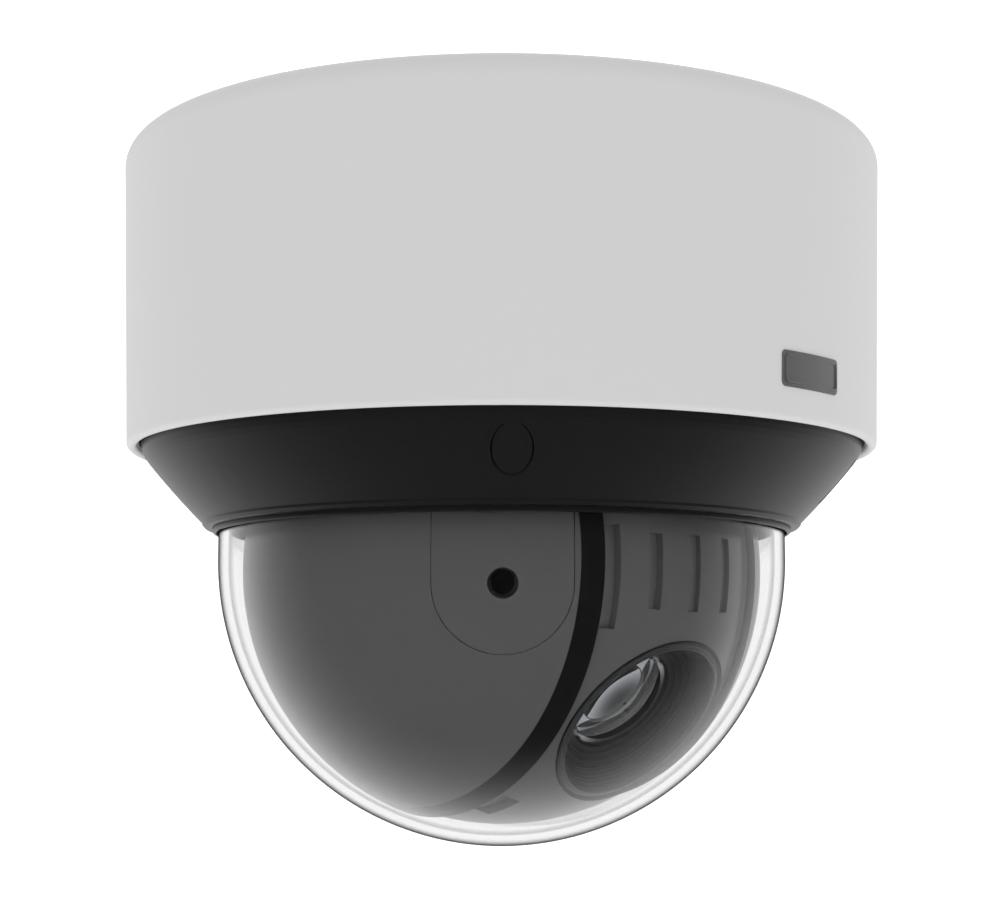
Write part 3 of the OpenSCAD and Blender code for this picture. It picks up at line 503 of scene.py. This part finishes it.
# %% Bezel trim ring
bezel_out = max(r for r, z in bezel_rings if z > bezel_top - 1 * mm)
lip_r = 0.3 * mm
lip_middle = (bezel_out - 1.75 * mm, bezel_top - lip_r)
trim_foot = bezel_top - 1.2 * mm
trim_edge = bezel_out - 0.1 * mm
trim = [(bezel_out - 2.1 * mm, trim_foot)]
trim += arc(lip_r, lip_middle, 180, 20, 10)
trim += [(bezel_out - 1.2 * mm, bezel_top - 0.2 * mm), (bezel_out - 0.35 * mm, bezel_top - 0.5 * mm),
         (trim_edge, bezel_top - 0.75 * mm), (trim_edge, trim_foot)]
trim_black = finish("trim_black", (0.07, 0.07, 0.071), 0.22, mottle=0.05, grain_depth=0.000002)
dress(lathe("bezel_trim", trim, steps=192, place=on_lens), "tilt_unit", "dark_plastic",
      material=trim_black)
print("front glass radius and seat (mm):", round(glass_r / mm, 2), round(glass_seat / mm, 2))

# %% [markdown]
# Small parts that repeat are placed by Geometry Nodes: the rule says where they go, and one
# template says what they are. Each tree is built here, its inputs have names and are set by their
# socket identifiers, and its result is stored as an ordinary mesh.


# %% Geometry Nodes trees
class Growth:
    """A Geometry Nodes tree: inputs by name, nodes by type, and a mesh at the end."""

    def __init__(self, name):
        self.group = bpy.data.node_groups.new(name, "GeometryNodeTree")
        self.sockets = {}
        self.add_input("Geometry", "NodeSocketGeometry")
        self.group.interface.new_socket("Geometry", in_out="OUTPUT", socket_type="NodeSocketGeometry")
        self.entry = self.group.nodes.new("NodeGroupInput")
        self.exit = self.group.nodes.new("NodeGroupOutput")

    def add_input(self, name, kind):
        socket = self.group.interface.new_socket(name, in_out="INPUT", socket_type=kind)
        self.sockets[name] = socket.identifier

    def node(self, kind, settings=None, sockets=None):
        new = self.group.nodes.new(kind)
        for name, value in (settings or {}).items():
            setattr(new, name, value)
        for key, value in (sockets or {}).items():
            if isinstance(value, bpy.types.NodeSocket):
                self.group.links.new(value, new.inputs[key])
            else:
                new.inputs[key].default_value = value
        return new

    def close(self, geometry, material):
        """Realizes the instances, sets the material and links the result out."""
        real = self.node("GeometryNodeRealizeInstances", sockets={"Geometry": geometry})
        painted = self.node("GeometryNodeSetMaterial", sockets={"Geometry": real.outputs[0],
                                                                "Material": material})
        self.group.links.new(painted.outputs[0], self.exit.inputs[0])

    def grow(self, name, points, edges=(), reach=None, **values):
        """Runs the tree on a mesh of points and keeps the result as a plain mesh object."""
        seed = bpy.data.meshes.new(name + "_seed")
        seed.from_pydata([tuple(point) for point in points], list(edges), [])
        if reach:
            seed.attributes.new("reach", "FLOAT", "POINT").data.foreach_set("value", reach)
        carrier = bpy.data.objects.new(name + "_seed", seed)
        scene.collection.objects.link(carrier)
        modifier = carrier.modifiers.new("grow", "NODES")
        modifier.node_group = self.group
        for key, value in values.items():
            modifier[self.sockets[key]] = value
        bpy.context.view_layer.update()
        graph = bpy.context.evaluated_depsgraph_get()
        mesh = bpy.data.meshes.new_from_object(carrier.evaluated_get(graph), depsgraph=graph)
        carrier.modifiers.remove(modifier)
        bpy.data.objects.remove(carrier)
        grown = bpy.data.objects.new(name, mesh)
        scene.collection.objects.link(grown)
        point_outwards(grown)
        mesh.set_sharp_from_angle(angle=math.radians(35))
        return grown


def template(name, boxes, bevel):
    """A hidden mesh of bevelled blocks, given as (low corner, high corner) pairs."""
    shape = bmesh.new()
    for low, high in boxes:
        middle = (Vector(low) + Vector(high)) / 2
        span = Vector(high) - Vector(low)
        bmesh.ops.create_cube(shape, size=1, matrix=Matrix.LocRotScale(middle, None, span))
    bmesh.ops.bevel(shape, geom=shape.edges[:], offset=bevel, segments=2, profile=0.7,
                    affect="EDGES", clamp_overlap=True)
    mesh = bpy.data.meshes.new(name)
    shape.to_mesh(mesh)
    shape.free()
    mesh.shade_smooth()
    return bpy.data.objects.new(name, mesh)


# %% [markdown]
# The barrel in front of the glass is lined with fine rings, which stop stray light. They are turned
# in the real bezel. Here one ring is instanced along the lens axis on points that follow the funnel
# outwards, and each point's distance from the axis sets its ring's size.

# %% Light baffles
baffles = Growth("baffles")
baffles.add_input("Ring", "NodeSocketObject")
baffles.add_input("Axis", "NodeSocketVector")
turned_ring = baffles.node("GeometryNodeObjectInfo", sockets={"Object": baffles.entry.outputs["Ring"]})
reach = baffles.node("GeometryNodeInputNamedAttribute", {"data_type": "FLOAT"}, {"Name": "reach"})
wide = baffles.node("ShaderNodeCombineXYZ", sockets={0: reach.outputs[0], 1: reach.outputs[0],
                                                     2: reach.outputs[0]})
facing = baffles.node("FunctionNodeAlignRotationToVector", {"axis": "Z"},
                      {"Vector": baffles.entry.outputs["Axis"]})
placed = baffles.node("GeometryNodeInstanceOnPoints",
                      sockets={"Points": baffles.entry.outputs[0], "Rotation": facing.outputs[0],
                               "Instance": turned_ring.outputs["Geometry"], "Scale": wide.outputs[0]})
baffles.close(placed.outputs[0], finishes["dark_plastic"])

ring_template = lathe("ring_template", arc(0.01, (1.0, 0.0), 0, 360, 8)[:-1], steps=128)
funnel = [(13.4, 45.72), (14.1, 46.02), (14.8, 46.32), (15.45, 46.62), (16.1, 46.92), (16.55, 47.55),
          (17.0, 48.22), (17.4, 48.85), (17.8, 49.45), (18.25, 50.1)]
baffle_rings = baffles.grow("light_baffles", [on_lens @ Vector((0, 0, z * mm)) for r, z in funnel],
                            reach=[r * mm for r, z in funnel], Ring=ring_template,
                            Axis=tuple(lens_axis))
bpy.data.objects.remove(ring_template)
dress(baffle_rings, "tilt_unit", "dark_plastic")
print("baffle rings:", len(funnel))

# %% [markdown]
# The main board carries small chips and capacitors. A real board is populated by a machine that
# places a few kinds of part over a grid, so points stand on a jittered grid where the board is
# free, and the tree gives each one a size and a quarter turn of its own from a fixed seed.

# %% Board parts
parts_tree = Growth("board_parts")
parts_tree.add_input("Chip", "NodeSocketObject")
parts_tree.add_input("Seed", "NodeSocketInt")
chip_info = parts_tree.node("GeometryNodeObjectInfo",
                            sockets={"Object": parts_tree.entry.outputs["Chip"]})
sizes = parts_tree.node("FunctionNodeRandomValue", {"data_type": "FLOAT_VECTOR"},
                        {0: (0.55, 0.55, 0.5), 1: (1.0, 1.15, 1.3),
                         "Seed": parts_tree.entry.outputs["Seed"]})
quarter = parts_tree.node("FunctionNodeRandomValue", {"data_type": "INT"},
                          {4: 0, 5: 3, "Seed": parts_tree.entry.outputs["Seed"]})
angle = parts_tree.node("ShaderNodeMath", {"operation": "MULTIPLY"},
                        {0: quarter.outputs[2], 1: math.pi / 2})
spun = parts_tree.node("ShaderNodeCombineXYZ", sockets={2: angle.outputs[0]})
stood = parts_tree.node("GeometryNodeInstanceOnPoints",
                        sockets={"Points": parts_tree.entry.outputs[0], "Rotation": spun.outputs[0],
                                 "Instance": chip_info.outputs["Geometry"], "Scale": sizes.outputs[0]})
parts_tree.close(stood.outputs[0], finishes["dark_plastic"])


def tree_of(*names):
    """A search tree over the faces of some CAD nodes."""
    points, faces = [], []
    for name in names:
        mesh = nodes[name].data
        first = len(points)
        points += [vertex.co.copy() for vertex in mesh.vertices]
        faces += [[first + i for i in face.vertices] for face in mesh.polygons]
    return BVHTree.FromPolygons(points, faces)


def free_places(board, neighbours, pitch, room, top, seed):
    """Jittered grid points on top of a board, at least room away from its neighbours."""
    dice = random.Random(seed)
    jitter = 0.5
    left_out = 0.4
    low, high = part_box(board)
    ground, others = tree_of(board), tree_of(*neighbours)
    found = []
    across = int((high.x - low.x) / pitch)
    along = int((high.y - low.y) / pitch)
    for i in range(1, across):
        for j in range(1, along):
            spot = Vector((low.x + i * pitch + dice.uniform(-jitter, jitter) * mm,
                           low.y + j * pitch + dice.uniform(-jitter, jitter) * mm, top))
            skipped = dice.random() < left_out
            around = [ground.ray_cast(spot + Vector((dx, dy, 1 * mm)), Vector((0, 0, -1)), 1.5 * mm)[0]
                      for dx in (-room / 2, room / 2) for dy in (-room / 2, room / 2)]
            if skipped or None in around or others.find_nearest(spot, room)[0] is not None:
                continue
            found.append(spot)
    return found


case = ((-1.5 * mm, -1 * mm, 0.25 * mm), (1.5 * mm, 1 * mm, 1.1 * mm))
leads = [((x - 0.2 * mm, -1.35 * mm, 0), (x + 0.2 * mm, 1.35 * mm, 0.3 * mm))
         for x in (-1 * mm, 0, 1 * mm)]
chip = template("chip_template", [case] + leads, bevel=0.06 * mm)
scene.collection.objects.link(chip)
board_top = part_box("heat_sink")[0].z
neighbours = ["heat_sink", "network_socket", "terminal_block", "memory_card_socket", "memory_card",
              "reset_button", "pan_motor", "slip_ring_stator", "board_screws", "housing", "pan_pinion",
              "hook_studs"]
places = free_places("main_board", neighbours, pitch=5.5 * mm, room=3.4 * mm, top=board_top, seed=7)
board_parts = parts_tree.grow("board_parts", places, Chip=chip, Seed=3)
bpy.data.objects.remove(chip)
dress(board_parts, "root", "dark_plastic")
print("parts on the main board:", len(places))

# %% [markdown]
# The nameplate is plain, with no mark on it. A pressed plate has a raised border, so a round bead
# is swept along a rounded outline on the drum's wall by turning the outline into a curve.

# %% Nameplate border
edging = Growth("edging")
edging.add_input("Bead", "NodeSocketFloat")
path = edging.node("GeometryNodeMeshToCurve", sockets={0: edging.entry.outputs[0]})
bead = edging.node("GeometryNodeCurvePrimitiveCircle", sockets={"Resolution": 12,
                                                               "Radius": edging.entry.outputs["Bead"]})
swept = edging.node("GeometryNodeCurveToMesh", sockets={"Curve": path.outputs[0],
                                                        "Profile Curve": bead.outputs[0]})
edging.close(swept.outputs[0], finishes["badge_metal"])

plate = [point.co for point in nodes["name_badge"].data.vertices]
plate_r = max(math.hypot(point.x, point.y) for point in plate)
plate_low, plate_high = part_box("name_badge")
turns = [math.atan2(point.x, -point.y) for point in plate]
plate_turn = (min(turns) + max(turns)) / 2
inset = 0.9 * mm
corner_r = 0.8 * mm
plate_middle = (plate_low.z + plate_high.z) / 2
half_w = (max(turns) - min(turns)) / 2 * plate_r - inset
half_h = (plate_high.z - plate_low.z) / 2 - inset
border = []
for side_x, side_z, first in ((1, 1, 0), (-1, 1, 90), (-1, -1, 180), (1, -1, 270)):
    corner = (side_x * (half_w - corner_r), side_z * (half_h - corner_r))
    for u, v in arc(corner_r, corner, first, first + 90, 6):
        turn = plate_turn + u / plate_r
        border.append((plate_r * math.sin(turn), -plate_r * math.cos(turn), plate_middle + v))
loop = [(i, (i + 1) % len(border)) for i in range(len(border))]
plate_border = edging.grow("plate_border", border, edges=loop, Bead=0.22 * mm)
dress(plate_border, "root", "badge_metal")
print("nameplate border (mm):", round(2 * half_w / mm, 1), round(2 * half_h / mm, 1))
